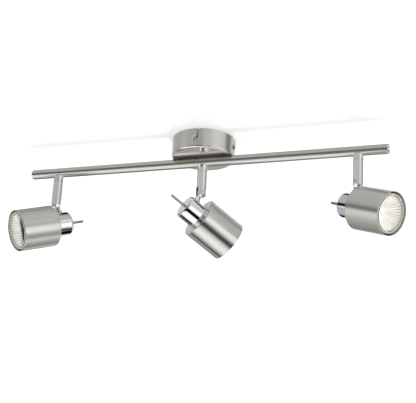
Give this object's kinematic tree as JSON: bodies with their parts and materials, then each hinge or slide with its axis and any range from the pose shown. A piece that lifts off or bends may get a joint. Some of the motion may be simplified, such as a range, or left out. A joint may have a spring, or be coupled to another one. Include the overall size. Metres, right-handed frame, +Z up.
{
  "type": "ceiling spotlight bar",
  "caption": "Ceiling bar light: round canopy, straight tube bar and swivelling chrome arms that carry tilting brushed cans with reflector lamps.",
  "frame": {"origin": "centre of the ceiling face, where the bracket and canopy meet the ceiling", "axes": "+Z up into the ceiling, +X along the bar, -Y towards the viewer; everything hangs below z = 0"},
  "size_m": [0.5386, 0.1143, 0.1581],
  "materials": {
    "brushed_nickel": "fine circular brushed satin nickel",
    "brushed_nickel_bar": "satin nickel brushed along the bar",
    "chrome": "polished chrome",
    "polished_screws": "polished nickel-plated steel",
    "zinc_steel": "zinc-plated steel",
    "white_plastic": "moulded white terminal plastic",
    "brass": "plain brass",
    "brown_insulation": "brown wire insulation",
    "blue_insulation": "blue wire insulation",
    "green_yellow_insulation": "green and yellow wire insulation",
    "white_ceramic": "opaque glazed white ceramic",
    "dichroic_glass": "faceted reflector glass with a bright coating",
    "clear_glass": "clear front glass",
    "quartz_glass": "clear quartz capsule"
  },
  "bodies": {
    "root": {"arm_collar_centre": "chrome", "arm_collar_left": "chrome", "arm_collar_right": "chrome", "bar_end_caps": "chrome", "canopy_cover": "brushed_nickel", "canopy_screws": "polished_screws", "ceiling_bracket": "zinc_steel", "centre_nipple": "zinc_steel", "crossbar_tube": "brushed_nickel_bar", "earth_screw": "brass", "earth_wire": "green_yellow_insulation", "live_wires": "brown_insulation", "neutral_wires": "blue_insulation", "nipple_nut": "zinc_steel", "nipple_washer": "zinc_steel", "swivel_nuts": "zinc_steel", "swivel_stems": "zinc_steel", "swivel_washers": "zinc_steel", "terminal_block": "white_plastic", "terminal_screws": "brass"},
    "arm_left": {"arm_tube_left": "chrome", "pivot_screw_left": "polished_screws"},
    "arm_centre": {"arm_tube_centre": "chrome", "pivot_screw_centre": "polished_screws"},
    "arm_right": {"arm_tube_right": "chrome", "pivot_screw_right": "polished_screws"},
    "head_left": {"handle_pin_left": "chrome", "holder_cup_left": "chrome", "holder_screws_left": "zinc_steel", "knuckle_left": "chrome", "knuckle_nut_left": "zinc_steel", "lamp_base_left": "white_ceramic", "lamp_capsule_left": "quartz_glass", "lamp_glass_left": "clear_glass", "lamp_reflector_left": "dichroic_glass", "lampholder_left": "white_ceramic", "shade_left": "brushed_nickel"},
    "head_centre": {"handle_pin_centre": "chrome", "holder_cup_centre": "chrome", "holder_screws_centre": "zinc_steel", "knuckle_centre": "chrome", "knuckle_nut_centre": "zinc_steel", "lamp_base_centre": "white_ceramic", "lamp_capsule_centre": "quartz_glass", "lamp_glass_centre": "clear_glass", "lamp_reflector_centre": "dichroic_glass", "lampholder_centre": "white_ceramic", "shade_centre": "brushed_nickel"},
    "head_right": {"handle_pin_right": "chrome", "holder_cup_right": "chrome", "holder_screws_right": "zinc_steel", "knuckle_nut_right": "zinc_steel", "knuckle_right": "chrome", "lamp_base_right": "white_ceramic", "lamp_capsule_right": "quartz_glass", "lamp_glass_right": "clear_glass", "lamp_reflector_right": "dichroic_glass", "lampholder_right": "white_ceramic", "shade_right": "brushed_nickel"}
  },
  "joints": [
    {"name": "swivel_left", "type": "hinge", "parent": "root", "child": "arm_left", "pos_m": [-0.21, 0, -0.0453], "axis": [0, 0, 1], "range_deg": [-133.2, 216.8]},
    {"name": "tilt_left", "type": "hinge", "parent": "arm_left", "child": "head_left", "pos_m": [-0.21, 0, -0.0745], "axis": [-0.7455, 0.6665, 0], "range_deg": [-64.7, 38.3]},
    {"name": "swivel_centre", "type": "hinge", "parent": "root", "child": "arm_centre", "pos_m": [0, 0, -0.0453], "axis": [0, 0, 1], "range_deg": [-313.6, 36.4]},
    {"name": "tilt_centre", "type": "hinge", "parent": "arm_centre", "child": "head_centre", "pos_m": [0, 0, -0.0745], "axis": [0.7501, -0.6613, 0], "range_deg": [-58.7, 44.3]},
    {"name": "swivel_right", "type": "hinge", "parent": "root", "child": "arm_right", "pos_m": [0.21, 0, -0.0453], "axis": [0, 0, 1], "range_deg": [-239.7, 110.3]},
    {"name": "tilt_right", "type": "hinge", "parent": "arm_right", "child": "head_right", "pos_m": [0.21, 0, -0.0745], "axis": [-0.4274, -0.9041, 0], "range_deg": [-64.8, 38.2]}
  ]
}
